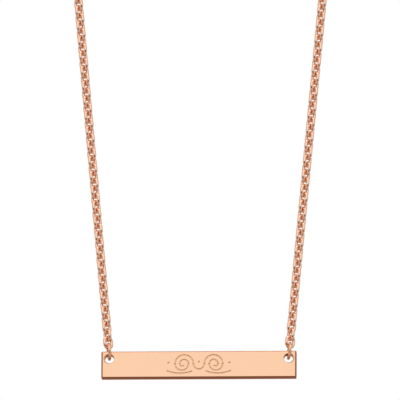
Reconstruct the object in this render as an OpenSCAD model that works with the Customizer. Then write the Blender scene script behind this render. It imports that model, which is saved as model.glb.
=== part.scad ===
// Bar necklace: an engraved bar pendant hung by two jump rings from a cable
// chain that closes in a spring ring clasp. Millimetres, +Z up, front at -Y.
// The origin is the inner side of the loop at its top, where it hangs.

/* [Bar] */
// Length of the bar
bar_w = 32; // [28:0.5:38]
// Height of the bar
bar_h = 4.5; // [4.2:0.1:6]
// Thickness of the bar
bar_t = 1.35; // [1:0.05:1.4]
// Radius of the bar's softened edges
bar_edge = 0.2; // [0.1:0.01:0.25]
// Diameter of the two holes for the jump rings
hole_d = 1.5; // [1.45:0.05:1.7]
// Distance from the bar's end to the middle of its hole
hole_inset = 1.33; // [1.2:0.01:2]
// Distance from the bar's top to the middle of its holes
hole_drop = 1.25; // [1.2:0.05:1.4]
// Bevel round each hole
hole_bevel = 0.06; // [0.04:0.01:0.1]

/* [Flourish] */
// Width of the engraved line, which is half as deep
groove_w = 0.26; // [0.18:0.02:0.3]
// Height of the flourish's middle line above the bar's middle
flourish_rise = 0.1; // [-0.2:0.05:0.2]

/* [Chain] */
// Wire of the links
wire_d = 0.5; // [0.46:0.01:0.52]
// Width of a link between the middles of its wires
link_w = 1.31; // [1.3:0.01:1.4]
// Distance from one link to the next
link_pitch = 1.287; // [1.28:0.001:1.34]
// Links in each strand, from the jump ring to the clasp (an odd number)
link_count = 161; // [131:2:181]
// Links of each strand that are built as links; a tube stands for the rest
front_links = 48; // [8:2:60]
// Lean of each strand away from upright, in degrees
strand_lean = 5.1; // [4:0.1:7]

/* [Rings] */
// Wire of the jump rings at the bar
ring_wire = 0.5; // [0.44:0.01:0.52]
// Inner diameter of the jump rings at the bar
ring_id = 2; // [1.9:0.01:2.1]
// Wire of the end rings at the clasp
end_ring_wire = 0.5; // [0.4:0.05:0.6]
// Inner diameter of the end rings at the clasp
end_ring_id = 2.2; // [2.1:0.05:2.6]

/* [Clasp] */
// Outer diameter of the spring ring
clasp_d = 5.5; // [5:0.1:7]
// Thickness of the spring ring
clasp_wire = 1.1; // [0.9:0.05:1.2]
// Outer diameter of the eye on the spring ring
eye_d = 2.3; // [2.1:0.1:2.6]
// Wire of the eye
eye_wire = 0.6; // [0.5:0.05:0.7]

/* [Hidden] */
$fn = 48;

rose_gold = [0.90, 0.66, 0.53];
deep_rose_gold = [0.80, 0.52, 0.38];

// Free play where two links or rings hook into each other
play = 0.12;
// Gap between a link's end and the tube that carries on from it
tube_gap = 0.12;
tube_d = 1.7;
tube_sides = 8;
tube_step = 4.3;

// Every second link turns the other way from the loop's plane, and the whole strand a little more
link_turn = 45;
strand_twist = 5;
// The links nearest a ring turn towards square with it, over this many links
settle_links = 3;
ring_settle = -13;
clasp_settle = 20;

// A link's middle line is two half circles joined by two straights
link_l = link_pitch + wire_d + play;
link_straight = link_l - link_w;

// Spring ring and its eye, placed so that the end rings sit alike on both sides
clasp_r = (clasp_d - clasp_wire) / 2;
eye_r = (eye_d - eye_wire) / 2;
eye_overlap = 0.3;
eye_apart = (clasp_d + eye_d) / 2 - eye_overlap;
clasp_x = ((clasp_wire - eye_wire) / 2 + eye_apart + eye_r - clasp_r) / 2;
eye_x = clasp_x - eye_apart;
end_ring_r = (end_ring_id + end_ring_wire) / 2;
end_ring_at = clasp_x + clasp_r - (clasp_wire + end_ring_wire) / 2 - play + end_ring_r;
catch_angle = 120;
catch_d = 0.66;
last_hook = end_ring_at + end_ring_r - (end_ring_wire + wire_d) / 2 - play;

// The jump ring hangs in line with its strand: heights along that line over the hole's middle
ring_r = (ring_id + ring_wire) / 2;
bar_play = 0.06;
ring_turn = 8;
hole_r = hole_d / 2;
hole_sag = hole_r - sqrt(pow(hole_r, 2) - pow(ring_wire / 2, 2));
seat_depth = sqrt(pow(ring_id / 2 - bar_play, 2) - pow(bar_t / 2, 2));
ring_up = hole_r - hole_sag + seat_depth;
hook_up = ring_up + ring_id / 2 - wire_d / 2 - play;
hole_x = bar_w / 2 - hole_inset;
hook_x = hole_x + hook_up * sin(strand_lean);

// The loop is two straight strands that run on into one round arc over the top
strand_path = last_hook + link_l + (link_count - 1) * link_pitch;
wrap_angle = 90 + strand_lean;
wrap_rad = wrap_angle * PI / 180;
top_r = (hook_x + strand_path * sin(strand_lean)) / (cos(strand_lean) + wrap_rad * sin(strand_lean));
top_z = (link_w + wire_d) / 2;
wrap_length = top_r * wrap_rad;

// Angle round the arc, and the place, at a distance along the loop from its top
function turn_at(along) = min(along / top_r * 180 / PI, wrap_angle);
function straight_part(along) = max(along - wrap_length, 0);
function place_at(along) = [
  top_r * sin(turn_at(along)) - straight_part(along) * sin(strand_lean),
  0,
  top_z - top_r * (1 - cos(turn_at(along))) - straight_part(along) * cos(strand_lean)];

// Distance from the loop's top of the middle of link k, counted from the bar
function link_at(k) = strand_path - link_l / 2 - k * link_pitch;
hole_z = place_at(strand_path)[2] - hook_up * cos(strand_lean);
bar_mid_z = hole_z + hole_drop - bar_h / 2;

// Flourish: strokes that are half circles and shrink as they wind into a scroll, the
// first over the line and the next under it, with a bead where two strokes meet
scroll_start = 0.9;
scroll_radii = [1.5, 1.1, 0.72, 0.4];
scroll_end_angle = 210;
function scroll_mid(i) = i == 0 ? scroll_start + scroll_radii[0]
  : scroll_mid(i - 1) + (i % 2 == 1 ? 1 : -1) * (scroll_radii[i - 1] - scroll_radii[i]);
function stroke_end(i) = scroll_mid(i) + (i % 2 == 0 ? 1 : -1) * scroll_radii[i];
last_stroke = len(scroll_radii) - 1;
// A stroke stops this far from the middle of its bead
stroke_gap = 0.05;
bead_d = 0.36;
// Sweep under the scroll: middle, radius and the angles between which it runs
sweep_mid = [3.1, 3.9];
sweep_radius = 5.5;
sweep_angles = [248, 294];
// Dots: x and height over the line
flourish_dots = [[0, 0.35], [5, 0.2]];

module torus(middle_r, wire) {
  rotate_extrude() translate([middle_r, 0]) circle(d = wire);
}

// One link, standing along Z and open towards Y
module link() {
  for (up = [1, -1])
    translate([0, 0, up * link_straight / 2]) rotate([90, 0, 0]) rotate([0, 0, up > 0 ? 0 : 180])
      rotate_extrude(angle = 180) translate([link_w / 2, 0]) circle(d = wire_d);
  for (side = [1, -1])
    translate([side * link_w / 2, 0, -link_straight / 2]) cylinder(d = wire_d, h = link_straight);
}

// Sets its children on the loop, standing along it; side is 1 on the right and -1 on the left
module on_loop(along, side) {
  translate([side * place_at(along)[0], 0, place_at(along)[2]])
    rotate([0, side * (turn_at(along) - 90), 0]) children();
}

// Turn of link k about the strand, eased near the jump ring and near the clasp
function eased(steps) = max(1 - steps / settle_links, 0);
function turn_of(k) = (k % 2 == 0 ? link_turn : -link_turn) + strand_twist
  + ring_settle * eased(k) + clasp_settle * eased(link_count - 1 - k);

module links(side, first, last) {
  for (k = [first : last])
    on_loop(link_at(k), side) rotate([0, 0, turn_of(k)]) link();
}

// Tube along the loop between two distances from its top
module loop_tube(from, to, side) {
  rings = ceil((to - from) / tube_step);
  points = [for (i = [0 : rings], j = [0 : tube_sides - 1])
    let (along = from + (to - from) * i / rings, around = 360 * (j + 0.5) / tube_sides,
      out = tube_d / 2 * cos(around), bend = turn_at(along), spot = place_at(along))
      [side * (spot[0] + out * sin(bend)), tube_d / 2 * sin(around), spot[2] + out * cos(bend)]];
  walls = [for (i = [0 : rings - 1], j = [0 : tube_sides - 1])
    let (next = (j + 1) % tube_sides, a = i * tube_sides, b = a + tube_sides)
      side > 0 ? [a + j, a + next, b + next, b + j] : [a + j, b + j, b + next, a + next]];
  start = [for (j = [0 : tube_sides - 1]) side > 0 ? tube_sides - 1 - j : j];
  finish = [for (j = [0 : tube_sides - 1]) rings * tube_sides + (side > 0 ? j : tube_sides - 1 - j)];
  polyhedron(points, concat([start], walls, [finish]));
}

module chain_front(side) {
  color(deep_rose_gold) links(side, 0, front_links - 1);
}

// The hidden stretch: a tube, and the last link, which hooks into the end ring
module chain_back(side) {
  color(deep_rose_gold) {
    half_link = (link_l + wire_d) / 2 + tube_gap;
    loop_tube(link_at(link_count - 1) + half_link, link_at(front_links - 1) - half_link, side);
    links(side, link_count - 1, link_count - 1);
  }
}

module jump_ring(side) {
  color(deep_rose_gold) translate([side * hole_x, 0, hole_z]) rotate([0, side * strand_lean, 0])
    translate([0, 0, ring_up]) rotate([0, 90, ring_turn]) torus(ring_r, ring_wire);
}

module end_ring(side) {
  color(deep_rose_gold) on_loop(end_ring_at, side)
    rotate([90, 0, 0]) torus(end_ring_r, end_ring_wire);
}

// Spring ring and its eye, soldered into one piece, with the stub of its catch
module clasp() {
  color(deep_rose_gold) translate([0, 0, top_z]) {
    translate([clasp_x, 0, 0]) {
      torus(clasp_r, clasp_wire);
      rotate([0, 0, catch_angle]) translate([clasp_r, 0, 0])
        rotate([0, 90, 0]) cylinder(d = catch_d, h = clasp_wire);
    }
    translate([eye_x, 0, 0]) torus(eye_r, eye_wire);
  }
}

module rounded_rect(w, h, r) {
  square([w - 2 * r, h], center = true);
  square([w, h - 2 * r], center = true);
  for (x = [-1, 1], y = [-1, 1])
    translate([x * (w / 2 - r), y * (h / 2 - r)]) circle(r = r);
}

// A block with every edge softened: three rounded prisms that cross
module soft_block(w, t, h, r) {
  intersection() {
    rotate([90, 0, 0]) linear_extrude(t, center = true) rounded_rect(w, h, r);
    rotate([90, 0, 90]) linear_extrude(w, center = true) rounded_rect(t, h, r);
    linear_extrude(h, center = true) rounded_rect(w, t, r);
  }
}

module hanging_hole(x) {
  translate([x, 0, bar_h / 2 - hole_drop]) rotate([90, 0, 0]) {
    cylinder(d = hole_d, h = 2 * bar_t, center = true);
    for (face = [0, 180])
      rotate([face, 0, 0]) translate([0, 0, bar_t / 2 - hole_bevel])
        cylinder(r1 = hole_d / 2, r2 = hole_d / 2 + 2 * hole_bevel, h = 2 * hole_bevel);
  }
}

// A round groove along an arc in the XY plane, short of each end by the stroke gap
module groove(x, y, radius, from, to) {
  gap = stroke_gap / radius * 180 / PI;
  translate([x, y, 0]) rotate([0, 0, from + gap])
    rotate_extrude(angle = to - from - 2 * gap) translate([radius, 0]) circle(d = groove_w);
}

module bead(x, y) {
  translate([x, y, 0]) sphere(d = bead_d);
}

// Grooves cut into the front face, alike on both sides of the bar's middle
module flourish() {
  translate([0, -bar_t / 2, flourish_rise]) rotate([90, 0, 0]) {
    groove(0, 0, scroll_start, 180, 360);
    for (side = [0, 1]) mirror([side, 0, 0]) {
      bead(scroll_start, 0);
      for (i = [0 : last_stroke])
        groove(scroll_mid(i), 0, scroll_radii[i],
          i % 2 == 0 ? 0 : i == last_stroke ? scroll_end_angle : 180, i % 2 == 0 ? 180 : 360);
      for (i = [0 : last_stroke - 1]) bead(stroke_end(i), 0);
      groove(sweep_mid[0], sweep_mid[1], sweep_radius, sweep_angles[0], sweep_angles[1]);
      for (dot = flourish_dots) bead(dot[0], dot[1]);
    }
  }
}

module bar() {
  color(rose_gold) translate([0, 0, bar_mid_z]) difference() {
    soft_block(bar_w, bar_t, bar_h, bar_edge);
    for (side = [-1, 1]) hanging_hole(side * hole_x);
    flourish();
  }
}

bar();
jump_ring(-1);  // jump_ring_left
jump_ring(1);  // jump_ring_right
chain_front(-1);  // chain_left_front
chain_front(1);  // chain_right_front
chain_back(-1);  // chain_left_back
chain_back(1);  // chain_right_back
end_ring(-1);  // end_ring_left
end_ring(1);  // end_ring_right
clasp();
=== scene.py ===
# Bar necklace in polished rose gold, hanging as it is worn, in front of a plain studio.
import math

import bpy
import numpy as np
from mathutils import Matrix, Quaternion, Vector


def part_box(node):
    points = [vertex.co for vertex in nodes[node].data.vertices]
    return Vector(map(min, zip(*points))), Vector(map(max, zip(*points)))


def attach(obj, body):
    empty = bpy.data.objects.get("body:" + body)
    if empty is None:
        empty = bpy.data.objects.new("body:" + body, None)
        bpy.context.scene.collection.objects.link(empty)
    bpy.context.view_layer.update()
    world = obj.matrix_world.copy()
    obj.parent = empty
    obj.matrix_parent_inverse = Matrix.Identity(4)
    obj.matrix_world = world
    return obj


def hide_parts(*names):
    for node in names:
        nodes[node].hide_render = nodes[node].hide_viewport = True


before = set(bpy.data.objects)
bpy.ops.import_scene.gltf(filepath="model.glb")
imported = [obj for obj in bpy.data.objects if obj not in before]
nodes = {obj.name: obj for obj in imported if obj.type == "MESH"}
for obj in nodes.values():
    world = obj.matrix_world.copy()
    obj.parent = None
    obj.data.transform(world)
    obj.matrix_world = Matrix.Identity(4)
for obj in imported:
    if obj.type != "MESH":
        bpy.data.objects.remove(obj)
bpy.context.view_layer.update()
MM = 0.001

# Driving sizes of the loop, in millimetres
HOOK_X = 14.847
STRAND_PATH = 212.437
STRAND_LEAN = math.radians(5.1)
LAST_HOOK = 4.61
TOP_Z = 0.905
HOLE_X = 14.791
HOLE_Z = -196.028
PLAY = 0.12
RING_PLAY = 0.12
LINK_COUNT = 161
WIRE = 0.55
LINK_W = 1.37

# Every second link turns the other way, less so next to the jump ring and more next to the clasp
LINK_TURN = 48
STRAND_TWIST = 3
SETTLE_LINKS = 3
RING_SETTLE = -14
CLASP_SETTLE = 19

# The photograph: a bar of 32 mm is 195.2 of its 400 pixels long
PHOTO_SIZE = 400
PIXEL = 32 / 195.2
BAR_PIXEL = (199.0, 365.3)
CAMERA_AZIMUTH = math.radians(2)
CAMERA_ELEVATION = math.radians(-15)
CAMERA_ROLL = math.radians(-0.22)
CAMERA_DISTANCE = 3000


# Loop: two straight strands that run on into one round arc over the top
WRAP_ANGLE = math.pi / 2 + STRAND_LEAN
TOP_R = ((HOOK_X + STRAND_PATH * math.sin(STRAND_LEAN))
         / (math.cos(STRAND_LEAN) + WRAP_ANGLE * math.sin(STRAND_LEAN)))


def turn_at(along):
    return min(along / TOP_R, WRAP_ANGLE)


def place_at(along):
    """Place on the right half of the loop at a distance from its top middle."""
    turn = turn_at(along)
    straight = max(along - TOP_R * WRAP_ANGLE, 0)
    return Vector((TOP_R * math.sin(turn) - straight * math.sin(STRAND_LEAN), 0,
                   TOP_Z - TOP_R * (1 - math.cos(turn)) - straight * math.cos(STRAND_LEAN)))


def on_loop(along, side, twist=0.0):
    """Matrix, in millimetres, that stands a thing along the loop; side is 1 right and -1 left."""
    spot = place_at(along)
    spot.x *= side
    lean = side * (turn_at(along) - math.pi / 2)
    return (Matrix.Translation(spot) @ Matrix.Rotation(lean, 4, "Y")
            @ Matrix.Rotation(twist, 4, "Z"))


# Meshes of wire: a closed middle line in the XZ plane with a round section
def wire_loop(line, radius, sides):
    """Vertices and faces of a wire along a closed line of (x, z) points."""
    line = np.array(line, float)
    ahead = np.roll(line, -1, axis=0) - np.roll(line, 1, axis=0)
    ahead /= np.linalg.norm(ahead, axis=1)[:, None]
    outward = np.stack([ahead[:, 1], -ahead[:, 0]], axis=1)
    angles = np.arange(sides) * 2 * math.pi / sides
    out = np.broadcast_to(radius * np.cos(angles), (len(line), sides))
    depth = np.broadcast_to(radius * np.sin(angles), (len(line), sides))
    verts = np.stack([line[:, 0, None] + outward[:, 0, None] * out, depth,
                      line[:, 1, None] + outward[:, 1, None] * out], axis=2).reshape(-1, 3)
    i, j = np.meshgrid(np.arange(len(line)), np.arange(sides), indexing="ij")
    i, j = i.ravel(), j.ravel()
    i2, j2 = (i + 1) % len(line), (j + 1) % sides
    faces = np.stack([i * sides + j, i2 * sides + j, i2 * sides + j2, i * sides + j2], axis=1)
    return verts, faces


def stadium_line(width, length, bend_steps):
    """Two half circles joined by two straights, counter-clockwise from the right."""
    radius, half = width / 2, (length - width) / 2
    ends = [(0, half), (math.pi, -half)]
    return [(radius * math.cos(start + math.pi * i / bend_steps),
             rise + radius * math.sin(start + math.pi * i / bend_steps))
            for start, rise in ends for i in range(bend_steps + 1)]


def moved(verts, matrix):
    """The vertices after a millimetre matrix, in metres."""
    m = np.array(matrix)
    return (verts @ m[:3, :3].T + m[:3, 3]) * MM


def mesh_object(name, parts, material):
    """One smooth object from a list of (vertices, faces)."""
    verts, faces, base = [], [], 0
    for part_verts, part_faces in parts:
        verts.append(part_verts)
        faces.extend((np.asarray(part_faces) + base).tolist())
        base += len(part_verts)
    mesh = bpy.data.meshes.new(name)
    mesh.from_pydata(np.concatenate(verts).tolist(), [], faces)
    mesh.shade_smooth()
    mesh.materials.append(material)
    obj = bpy.data.objects.new(name, mesh)
    bpy.context.scene.collection.objects.link(obj)
    return obj


# Materials
class NodeKit:
    """Short calls for the nodes that materials and the world's light are mixed with."""

    def __init__(self, tree):
        self.tree = tree

    def add(self, kind, **inputs):
        """A new node, with its inputs set by name."""
        node = self.tree.nodes.new(kind)
        for name, value in inputs.items():
            node.inputs[name.replace("_", " ")].default_value = value
        return node

    def link(self, output, socket):
        self.tree.links.new(output, socket)

    def math(self, operation, *values):
        """The outcome of a Math node on outputs or plain numbers."""
        node = self.tree.nodes.new("ShaderNodeMath")
        node.operation = operation
        for socket, value in zip(node.inputs, values):
            if isinstance(value, float):
                socket.default_value = value
            else:
                self.link(value, socket)
        return node.outputs["Value"]

    def smooth(self, value, low, high, at_low, at_high):
        """A smooth step from one number to another as the value goes from low to high."""
        node = self.add("ShaderNodeMapRange", From_Min=low, From_Max=high,
                        To_Min=at_low, To_Max=at_high)
        node.interpolation_type = "SMOOTHSTEP"
        self.link(value, node.inputs["Value"])
        return node.outputs["Result"]

    def ramp(self, value, stops):
        """A colour ramp with (position, colour) stops."""
        node = self.tree.nodes.new("ShaderNodeValToRGB")
        elements = node.color_ramp.elements
        while len(elements) < len(stops):
            elements.new(0.5)
        for element, (position, color) in zip(elements, stops):
            element.position = position
            element.color = (*color, 1)
        self.link(value, node.inputs["Fac"])
        return node.outputs["Color"]

    def mix(self, factor, color_a, color_b):
        """The outcome of a Mix node on outputs or plain colours."""
        node = self.tree.nodes.new("ShaderNodeMix")
        node.data_type = "RGBA"
        self.link(factor, node.inputs["Factor"])
        for socket, color in ((node.inputs[6], color_a), (node.inputs[7], color_b)):
            if isinstance(color, tuple):
                socket.default_value = (*color, 1)
            else:
                self.link(color, socket)
        return node.outputs[2]


def rose_gold(name, color, roughness, mark_scale):
    """Polished metal with fine polishing marks: they vary the roughness and tilt the surface."""
    material = bpy.data.materials.new(name)
    material.use_nodes = True
    kit = NodeKit(material.node_tree)
    shader = material.node_tree.nodes["Principled BSDF"]
    shader.inputs["Base Color"].default_value = (*color, 1)
    shader.inputs["Metallic"].default_value = 1
    place = kit.add("ShaderNodeTexCoord")
    marks = kit.add("ShaderNodeTexNoise", Scale=mark_scale, Detail=MARK_DETAIL)
    kit.link(place.outputs["Object"], marks.inputs["Vector"])
    spread = kit.add("ShaderNodeMapRange", To_Min=roughness * (1 - MARK_SPREAD),
                     To_Max=roughness * (1 + MARK_SPREAD))
    kit.link(marks.outputs["Fac"], spread.inputs["Value"])
    kit.link(spread.outputs["Result"], shader.inputs["Roughness"])
    tilt = kit.add("ShaderNodeBump", Strength=1, Distance=MARK_DEPTH)
    kit.link(marks.outputs["Fac"], tilt.inputs["Height"])
    kit.link(tilt.outputs["Normal"], shader.inputs["Normal"])
    return material


def finish_and_shade_bar(material):
    """Bar's metal where its surface turns away from the flat front and back: painted shade darkens
    the outline and the ends, the grooves and the bores are satin with some painted shade in the
    bores, and the holes' rims take part of the painted shade."""
    kit = NodeKit(material.node_tree)
    place = kit.add("ShaderNodeTexCoord")
    normal = kit.add("ShaderNodeSeparateXYZ")
    kit.link(place.outputs["Normal"], normal.inputs["Vector"])
    spot = kit.add("ShaderNodeSeparateXYZ")
    kit.link(place.outputs["Object"], spot.inputs["Vector"])
    middle_height = (bar_low.z + bar_high.z) / 2
    above = kit.math("ABSOLUTE", kit.math("SUBTRACT", spot.outputs["Z"], middle_height))
    aside = kit.math("ABSOLUTE", spot.outputs["X"])
    turned = kit.smooth(kit.math("ABSOLUTE", normal.outputs["Y"]), *EDGE_TURN, 0.0, 1.0)
    outline = kit.smooth(above, *OUTLINE_ABOVE, 0.0, 1.0)

    # Painted shade in the holes' bores and on the face just around them
    to_side = kit.math("SUBTRACT", aside, HOLE_X * MM)
    to_height = kit.math("SUBTRACT", spot.outputs["Z"], HOLE_Z * MM)
    from_hole = kit.math("SQRT", kit.math("ADD", kit.math("MULTIPLY", to_side, to_side),
                                          kit.math("MULTIPLY", to_height, to_height)))
    hole_shade = kit.math("MINIMUM", kit.smooth(from_hole, *BORE_WALL, BORE_SHADE_SHARE, 1.0),
                       kit.smooth(from_hole, *HOLE_SHADE_RIM, RIM_SHADE_SHARE, 0.0))
    # Painted shade along the bar's two ends
    shade_by_place = kit.math("MAXIMUM", kit.smooth(aside, *END_SHADE_STRIP, 0.0, 1.0), hole_shade)
    # Painted shade on the bar's rounded top and bottom edges, its ends and around its holes
    dark = kit.math("MAXIMUM", kit.math("MULTIPLY", turned, outline), shade_by_place)
    cut = kit.math("MULTIPLY", turned, kit.math("SUBTRACT", 1.0, outline))

    shader = material.node_tree.nodes["Principled BSDF"]
    face_or_cut = kit.mix(cut, FACE_GOLD, CUT_GOLD)
    # The painted shade colour darkens the outline, the ends, the bores and the holes' rims
    kit.link(kit.mix(dark, face_or_cut, EDGE_SHADE_COLOR), shader.inputs["Base Color"])
    polished = shader.inputs["Roughness"].links[0].from_socket
    kit.link(kit.math("MAXIMUM", polished, kit.math("MULTIPLY", cut, CUT_ROUGHNESS)),
             shader.inputs["Roughness"])
    shader.inputs["Specular Tint"].default_value = (*EDGE_TINT, 1)


# Polishing marks: their depth in metres, how much they vary the roughness, their finest detail
MARK_DEPTH = 0.000002
MARK_SPREAD = 0.3
MARK_DETAIL = 4
# Metal of the bar's face, the painted shade colour of its outline and ends, and metal of its
# engraving and bores; the tint colours what the bar reflects at a flat angle
FACE_GOLD = (0.955, 0.610, 0.400)
EDGE_SHADE_COLOR = (0.400, 0.155, 0.085)
EDGE_TINT = (0.75, 0.55, 0.45)
CUT_GOLD = (1.000, 0.760, 0.500)
CUT_ROUGHNESS = 0.6
# Metal of the links and the clasp, and the same rose gold tinted more orange and brighter for the
# rings as a painted reflection
WIRE_GOLD = (0.945, 0.615, 0.445)
RING_REFLECTION_GOLD = (0.975, 0.590, 0.375)
# From the face's metal to the painted shade and the cut metal, by how far the surface still looks
# to the front or back
EDGE_TURN = (0.995, 0.94)
# How much of the outline's painted shade the holes' bores and their rims take
BORE_SHADE_SHARE = 0.3
RIM_SHADE_SHARE = 0.8
# Distances in metres for the painted shade: where the outline starts above and below the bar's
# middle, where the ends start, and from a hole's middle where its bore ends and its rim ends
OUTLINE_ABOVE = (0.00195, 0.00205)
END_SHADE_STRIP = (0.01572, 0.01580)
BORE_WALL = (0.000752, 0.000765)
HOLE_SHADE_RIM = (0.00080, 0.00088)

bar_low, bar_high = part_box("bar")
bar_gold = rose_gold("bar_gold", FACE_GOLD, roughness=0.10, mark_scale=900)
finish_and_shade_bar(bar_gold)
chain_gold = rose_gold("chain_gold", WIRE_GOLD, roughness=0.07, mark_scale=2500)
# The rings' colour carries a painted reflection: the links' rose gold, more orange and brighter
ring_gold = rose_gold("ring_gold", RING_REFLECTION_GOLD, roughness=0.34, mark_scale=2500)
clasp_gold = rose_gold("clasp_gold", WIRE_GOLD, roughness=0.12, mark_scale=1800)


def dress(node, material):
    """Gives a CAD node its material."""
    mesh = nodes[node].data
    mesh.materials.clear()
    mesh.materials.append(material)


# Chain: 161 links a strand, each hooked into the next and pulled taut
LINK_BEND_STEPS = 16
LINK_SIDES = 12
FIRST_HOOK = STRAND_PATH - PLAY + RING_PLAY
TOP_HOOK = LAST_HOOK + 2 * PLAY
PITCH = (FIRST_HOOK - TOP_HOOK - WIRE) / LINK_COUNT
LINK_L = PITCH + WIRE


def eased(steps):
    """1 at a strand's last link, down to 0 where its links turn as all the others do."""
    return max(1 - steps / SETTLE_LINKS, 0)


def link_turn(k):
    turn = (LINK_TURN if k % 2 == 0 else -LINK_TURN) + STRAND_TWIST
    return math.radians(turn + RING_SETTLE * eased(k) + CLASP_SETTLE * eased(LINK_COUNT - 1 - k))


def build_chain(name, side, front, back):
    link = wire_loop(stadium_line(LINK_W, LINK_L, LINK_BEND_STEPS), WIRE / 2, LINK_SIDES)
    parts = []
    for k in range(LINK_COUNT):
        along = FIRST_HOOK - LINK_L / 2 - k * PITCH
        parts.append((moved(link[0], on_loop(along, side, link_turn(k))), link[1]))
    chain = mesh_object(name, parts, chain_gold)
    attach(chain, "loop")
    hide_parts(front, back)


build_chain("chain_left", -1, "chain_left_front", "chain_left_back")
build_chain("chain_right", 1, "chain_right_front", "chain_right_back")

for ring in ("jump_ring_left", "jump_ring_right", "end_ring_left", "end_ring_right"):
    dress(ring, ring_gold)
dress("clasp", clasp_gold)
dress("bar", bar_gold)


# Camera: the photograph's, long lens, looking up at the bar from a little to its right
def look_direction():
    level = math.cos(CAMERA_ELEVATION)
    return Vector((-math.sin(CAMERA_AZIMUTH) * level, math.cos(CAMERA_AZIMUTH) * level,
                   -math.sin(CAMERA_ELEVATION)))


def make_camera():
    """Aims so that the bar's middle falls on its pixel in the photograph."""
    data = bpy.data.cameras.new("camera")
    data.lens = data.sensor_width * CAMERA_DISTANCE / (PHOTO_SIZE * PIXEL)
    data.clip_start, data.clip_end = 0.1, 50
    camera = bpy.data.objects.new("camera", data)
    bpy.context.scene.collection.objects.link(camera)
    turn = look_direction().to_track_quat("-Z", "Y") @ Quaternion((0, 0, 1), -CAMERA_ROLL)
    right, up = turn @ Vector((1, 0, 0)), turn @ Vector((0, 1, 0))
    across = (PHOTO_SIZE / 2 - BAR_PIXEL[0]) * PIXEL * MM
    above = (BAR_PIXEL[1] - PHOTO_SIZE / 2) * PIXEL * MM
    aim = (bar_low + bar_high) / 2 + right * across + up * above
    camera.location = aim - look_direction() * CAMERA_DISTANCE * MM
    camera.rotation_mode = "QUATERNION"
    camera.rotation_quaternion = turn
    bpy.context.scene.camera = camera


make_camera()


# Studio: a white room that reflects in the metal as a bright front, softer sides, a dull back
# and a dark place low in the middle of the front
# Each row: a height, from 0 straight down to 1 straight up, and its light at front, sides and back
STUDIO_LIGHT = [
    (0.02, (0.45, 0.45, 0.48), (0.37, 0.37, 0.39), (0.45, 0.45, 0.48)),
    (0.15, (1.05, 0.78, 0.74), (0.48, 0.49, 0.51), (0.50, 0.50, 0.52)),
    (0.37, (0.94, 0.87, 0.85), (0.54, 0.49, 0.48), (0.60, 0.51, 0.45)),
    (0.45, (0.98, 0.93, 0.91), (0.53, 0.49, 0.48), (0.85, 0.78, 0.73)),
    (0.63, (1.03, 1.03, 1.03), (0.51, 0.49, 0.51), (0.90, 0.85, 0.82)),
    (0.85, (1.00, 0.92, 0.92), (0.64, 0.62, 0.62), (0.72, 0.70, 0.68)),
    (0.98, (0.70, 0.70, 0.70), (0.57, 0.57, 0.57), (0.70, 0.70, 0.70)),
]
# Where the sides' light turns into the front's and the back's, by how far back a direction points
SIDES_TO_FRONT = (-0.1, -0.7)
SIDES_TO_BACK = (0.1, 0.7)
# The dark place: its light, its middle's height, and how it fades up and down, aside and backwards
DARK_PLACE = (0.060, 0.024, 0.014)
DARK_MIDDLE = -0.23
DARK_HEIGHT = (0.23, 0.46)
DARK_WIDTH = (0.35, 0.85)
DARK_FRONT = (0.0, -0.2)
KEY_ELEVATION = math.radians(58)
KEY_SPREAD = math.radians(16)
KEY_STRENGTH = 0.26
# The floor is far below, so that a camera that looks up at the necklace stands above it
FLOOR_Z = -12.0
FLOOR_HALF = 60.0
FLOOR_COLOR = (0.93, 0.92, 0.91)
FLOOR_ROUGHNESS = 0.9


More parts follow.
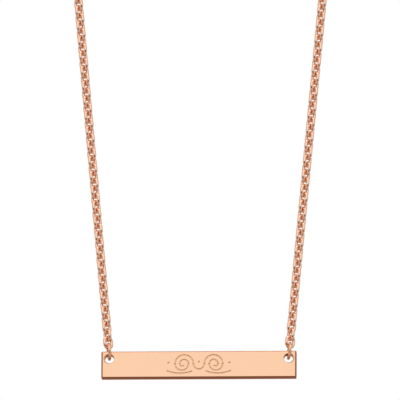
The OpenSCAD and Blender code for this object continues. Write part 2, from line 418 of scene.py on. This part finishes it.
def make_world():
    """White where the camera sees it, and the studio's light where the metal reflects it."""
    world = bpy.data.worlds.new("studio")
    bpy.context.scene.world = world
    world.use_nodes = True
    world.node_tree.nodes.clear()
    kit = NodeKit(world.node_tree)

    place = kit.add("ShaderNodeTexCoord").outputs["Generated"]
    split = kit.add("ShaderNodeSeparateXYZ")
    kit.link(place, split.inputs["Vector"])
    height = kit.add("ShaderNodeMapRange", From_Min=-1.0)
    kit.link(split.outputs["Z"], height.inputs["Value"])
    front, side, back = (
        kit.ramp(height.outputs["Result"], [(row[0], row[column]) for row in STUDIO_LIGHT])
        for column in (1, 2, 3))
    light = kit.mix(kit.smooth(split.outputs["Y"], *SIDES_TO_FRONT, 0.0, 1.0), side, front)
    light = kit.mix(kit.smooth(split.outputs["Y"], *SIDES_TO_BACK, 0.0, 1.0), light, back)

    above = kit.math("ABSOLUTE", kit.math("SUBTRACT", split.outputs["Z"], DARK_MIDDLE))
    aside = kit.math("ABSOLUTE", split.outputs["X"])
    dark = kit.math("MULTIPLY", kit.math("MULTIPLY", kit.smooth(above, *DARK_HEIGHT, 1.0, 0.0),
                                         kit.smooth(aside, *DARK_WIDTH, 1.0, 0.0)),
                    kit.smooth(split.outputs["Y"], *DARK_FRONT, 0.0, 1.0))
    reflected = kit.add("ShaderNodeBackground")
    kit.link(kit.mix(dark, light, DARK_PLACE), reflected.inputs["Color"])
    seen = kit.add("ShaderNodeBackground", Color=(1, 1, 1, 1), Strength=1.0)
    mix = kit.add("ShaderNodeMixShader")
    kit.link(kit.add("ShaderNodeLightPath").outputs["Is Glossy Ray"], mix.inputs["Fac"])
    kit.link(seen.outputs["Background"], mix.inputs[1])
    kit.link(reflected.outputs["Background"], mix.inputs[2])
    kit.link(mix.outputs["Shader"], kit.add("ShaderNodeOutputWorld").inputs["Surface"])


def make_key_light():
    """A soft round light high in front, which glints on the rings and the links' bends."""
    data = bpy.data.lights.new("key", "SUN")
    data.energy = KEY_STRENGTH
    data.angle = KEY_SPREAD
    light = bpy.data.objects.new("key", data)
    toward_part = Vector((0, math.cos(KEY_ELEVATION), -math.sin(KEY_ELEVATION)))
    light.rotation_mode = "QUATERNION"
    light.rotation_quaternion = toward_part.to_track_quat("-Z", "Y")
    bpy.context.scene.collection.objects.link(light)


def make_floor():
    """A plain pale floor; the metal reflects the studio instead of it."""
    mesh = bpy.data.meshes.new("floor")
    corners = [(x * FLOOR_HALF, y * FLOOR_HALF, FLOOR_Z)
               for x, y in ((-1, -1), (1, -1), (1, 1), (-1, 1))]
    mesh.from_pydata(corners, [], [(0, 1, 2, 3)])
    pale = bpy.data.materials.new("pale_floor")
    pale.use_nodes = True
    shader = pale.node_tree.nodes["Principled BSDF"]
    shader.inputs["Base Color"].default_value = (*FLOOR_COLOR, 1)
    shader.inputs["Roughness"].default_value = FLOOR_ROUGHNESS
    mesh.materials.append(pale)
    floor = bpy.data.objects.new("floor", mesh)
    bpy.context.scene.collection.objects.link(floor)
    floor.visible_glossy = False


make_key_light()
make_floor()
make_world()
bpy.context.scene.view_settings.view_transform = "Standard"
